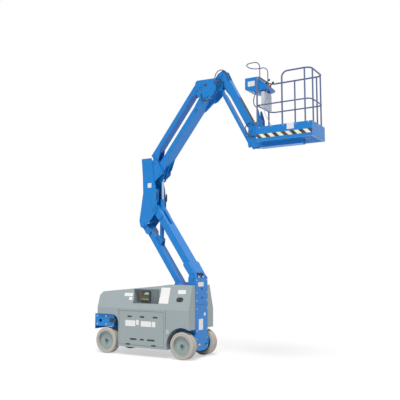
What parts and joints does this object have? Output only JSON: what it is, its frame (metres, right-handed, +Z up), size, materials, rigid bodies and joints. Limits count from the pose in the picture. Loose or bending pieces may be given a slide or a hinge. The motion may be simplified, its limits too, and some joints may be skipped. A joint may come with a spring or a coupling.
{
  "type": "articulating boom lift",
  "caption": "Narrow electric lifting machine with two folding parallel-bar risers, a boom and a railed work platform.",
  "frame": {"origin": "on the ground, midway along the overall length and on the centre plane", "axes": "+X towards the platform, -X towards the steered axle, +Y the far side, +Z up"},
  "size_m": [4.3348, 0.87, 5.1384],
  "materials": {
    "blue_paint": "gloss enamel",
    "cover_grey": "moulded satin",
    "tyre_rubber": "pale non-marking rubber",
    "wheel_grey": "satin enamel",
    "axle_steel": "satin black",
    "rod_chrome": "ground chrome",
    "battery_case": "satin",
    "panel_black": "satin",
    "hose_rubber": "matt",
    "plate_white": "blank vinyl plate",
    "hazard_stripe": "striped tape",
    "zinc_steel": "zinc plated",
    "rail_paint": "gloss enamel"
  },
  "bodies": {
    "chassis": {"chassis_frame": "blue_paint", "mast": "blue_paint", "rear_axle": "axle_steel", "side_cover_near": "cover_grey", "side_cover_far": "cover_grey", "slot_tray": "cover_grey", "ground_controls": "panel_black", "battery_pack_near": "battery_case", "battery_pack_far": "battery_case", "base_hoses": "hose_rubber"},
    "door_near": {"battery_door_near": "cover_grey"},
    "door_far": {"battery_door_far": "cover_grey"},
    "knuckle_near": {"steering_knuckle_near": "axle_steel"},
    "knuckle_far": {"steering_knuckle_far": "axle_steel"},
    "front_near": {"front_wheel_near": "wheel_grey", "front_tyre_near": "tyre_rubber"},
    "front_far": {"front_wheel_far": "wheel_grey", "front_tyre_far": "tyre_rubber"},
    "rear_near": {"rear_wheel_near": "wheel_grey", "rear_tyre_near": "tyre_rubber"},
    "rear_far": {"rear_wheel_far": "wheel_grey", "rear_tyre_far": "tyre_rubber"},
    "lower_arm": {"lower_arm": "blue_paint"},
    "lower_link": {"lower_link": "blue_paint"},
    "mid_link": {"mid_link": "blue_paint"},
    "upper_arm": {"upper_arm": "blue_paint"},
    "upper_link": {"upper_link": "blue_paint"},
    "elbow": {"elbow": "blue_paint", "elbow_hoses": "hose_rubber"},
    "riser_barrel": {"riser_cylinder_barrel": "blue_paint"},
    "riser_rod": {"riser_cylinder_rod": "rod_chrome"},
    "boom": {"boom": "blue_paint", "boom_hoses": "hose_rubber"},
    "level_link": {"level_link": "blue_paint"},
    "boom_barrel": {"boom_cylinder_barrel": "blue_paint"},
    "boom_rod": {"boom_cylinder_rod": "rod_chrome"},
    "platform": {"platform_bracket": "blue_paint", "platform_floor": "blue_paint", "toe_boards": "blue_paint", "guard_rails": "rail_paint", "console": "blue_paint", "platform_cables": "hose_rubber", "document_box": "cover_grey", "foot_switch": "panel_black"},
    "entry_bar": {"entry_bar": "rail_paint"}
  },
  "joints": [
    {"name": "steer_near", "type": "hinge", "parent": "chassis", "child": "knuckle_near", "pos_m": [-1.8774, -0.3, 0.235], "axis": [0, 0, 1], "range_deg": [-35, 35]},
    {"name": "steer_far", "type": "hinge", "parent": "chassis", "child": "knuckle_far", "pos_m": [-1.8774, 0.3, 0.235], "axis": [0, 0, 1], "range_deg": [-35, 35]},
    {"name": "spin_front_near", "type": "hinge", "parent": "knuckle_near", "child": "front_near", "pos_m": [-1.8774, -0.36, 0.235], "axis": [0, 1, 0], "continuous": true},
    {"name": "spin_front_far", "type": "hinge", "parent": "knuckle_far", "child": "front_far", "pos_m": [-1.8774, 0.36, 0.235], "axis": [0, 1, 0], "continuous": true},
    {"name": "spin_rear_near", "type": "hinge", "parent": "chassis", "child": "rear_near", "pos_m": [-0.2174, -0.36, 0.235], "axis": [0, 1, 0], "continuous": true},
    {"name": "spin_rear_far", "type": "hinge", "parent": "chassis", "child": "rear_far", "pos_m": [-0.2174, 0.36, 0.235], "axis": [0, 1, 0], "continuous": true},
    {"name": "door_near_hinge", "type": "hinge", "parent": "chassis", "child": "door_near", "pos_m": [-1.5724, -0.43, 0.19], "axis": [0, 0, -1], "range_deg": [0, 100]},
    {"name": "door_far_hinge", "type": "hinge", "parent": "chassis", "child": "door_far", "pos_m": [-1.5724, 0.43, 0.19], "axis": [0, 0, 1], "range_deg": [0, 100]},
    {"name": "riser_lift", "type": "hinge", "parent": "chassis", "child": "lower_arm", "pos_m": [-0.1274, 0, 1.42], "axis": [0, 1, 0], "range_deg": [-53.5, 18]},
    {"name": "lower_link_pivot", "type": "hinge", "parent": "chassis", "child": "lower_link", "pos_m": [-0.3624, 0, 1.1], "axis": [0, 1, 0], "range_deg": [-53.6, 18.1]},
    {"name": "mid_link_pivot", "type": "hinge", "parent": "lower_arm", "child": "mid_link", "pos_m": [-0.9975, 0, 2.70032], "axis": [0, 1, 0], "range_deg": [-18.1, 53.6]},
    {"name": "upper_arm_pivot", "type": "hinge", "parent": "mid_link", "child": "upper_arm", "pos_m": [-0.8825, 0, 3.36032], "axis": [0, 1, 0], "range_deg": [-18.1, 53.6]},
    {"name": "upper_link_pivot", "type": "hinge", "parent": "mid_link", "child": "upper_link", "pos_m": [-1.0025, 0, 3.56032], "axis": [0, 1, 0], "range_deg": [-18.1, 53.6]},
    {"name": "elbow_pivot", "type": "hinge", "parent": "upper_arm", "child": "elbow", "pos_m": [0.13949, 0, 4.66842], "axis": [0, 1, 0], "range_deg": [-53.6, 18.1]},
    {"name": "riser_barrel_pivot", "type": "hinge", "parent": "lower_link", "child": "riser_barrel", "pos_m": [-0.92047, 0, 2.09908], "axis": [0, 1, 0], "range_deg": [-13.15, 38.89]},
    {"name": "riser_rod_slide", "type": "slide", "parent": "riser_barrel", "child": "riser_rod", "axis": [0.0071, 0, 1], "range_m": [-0.26581, 0.0901]},
    {"name": "boom_lift", "type": "hinge", "parent": "elbow", "child": "boom", "pos_m": [0.38249, 0, 5.03042], "axis": [0, -1, 0], "range_deg": [-7.5, 110]},
    {"name": "level_link_pivot", "type": "hinge", "parent": "elbow", "child": "level_link", "pos_m": [0.36749, 0, 4.78542], "axis": [0, -1, 0], "range_deg": [-7.6, 110.1]},
    {"name": "platform_pivot", "type": "hinge", "parent": "boom", "child": "platform", "pos_m": [0.9694, 0, 3.94947], "axis": [0, -1, 0], "range_deg": [-110.1, 7.6]},
    {"name": "boom_barrel_pivot", "type": "hinge", "parent": "elbow", "child": "boom_barrel", "pos_m": [0.37249, 0, 4.90042], "axis": [0, -1, 0], "range_deg": [-7.6, 110.1]},
    {"name": "boom_rod_slide", "type": "slide", "parent": "boom_barrel", "child": "boom_rod", "axis": [0.5929, 0, -0.8053], "range_m": [-0.0148, 0.20339]},
    {"name": "entry_bar_hinge", "type": "hinge", "parent": "platform", "child": "entry_bar", "pos_m": [1.6184, -0.2918, 4.31047], "axis": [0, 1, 0], "range_deg": [0, 85]}
  ],
  "couplings": [
    {"joint": "steer_far", "follows": "steer_near", "ratio": 1},
    {"joint": "lower_link_pivot", "follows": "riser_lift", "ratio": 1},
    {"joint": "mid_link_pivot", "follows": "riser_lift", "ratio": -1},
    {"joint": "upper_arm_pivot", "follows": "riser_lift", "ratio": -1},
    {"joint": "upper_link_pivot", "follows": "riser_lift", "ratio": -1},
    {"joint": "elbow_pivot", "follows": "riser_lift", "ratio": 1},
    {"joint": "riser_barrel_pivot", "follows": "riser_lift", "ratio": -0.725},
    {"joint": "riser_rod_slide", "follows": "riser_lift", "m_per_rad": 0.2836},
    {"joint": "level_link_pivot", "follows": "boom_lift", "ratio": 1},
    {"joint": "platform_pivot", "follows": "boom_lift", "ratio": -1},
    {"joint": "boom_barrel_pivot", "follows": "boom_lift", "ratio": 1},
    {"joint": "boom_rod_slide", "follows": "boom_lift", "m_per_rad": 0.10542}
  ]
}
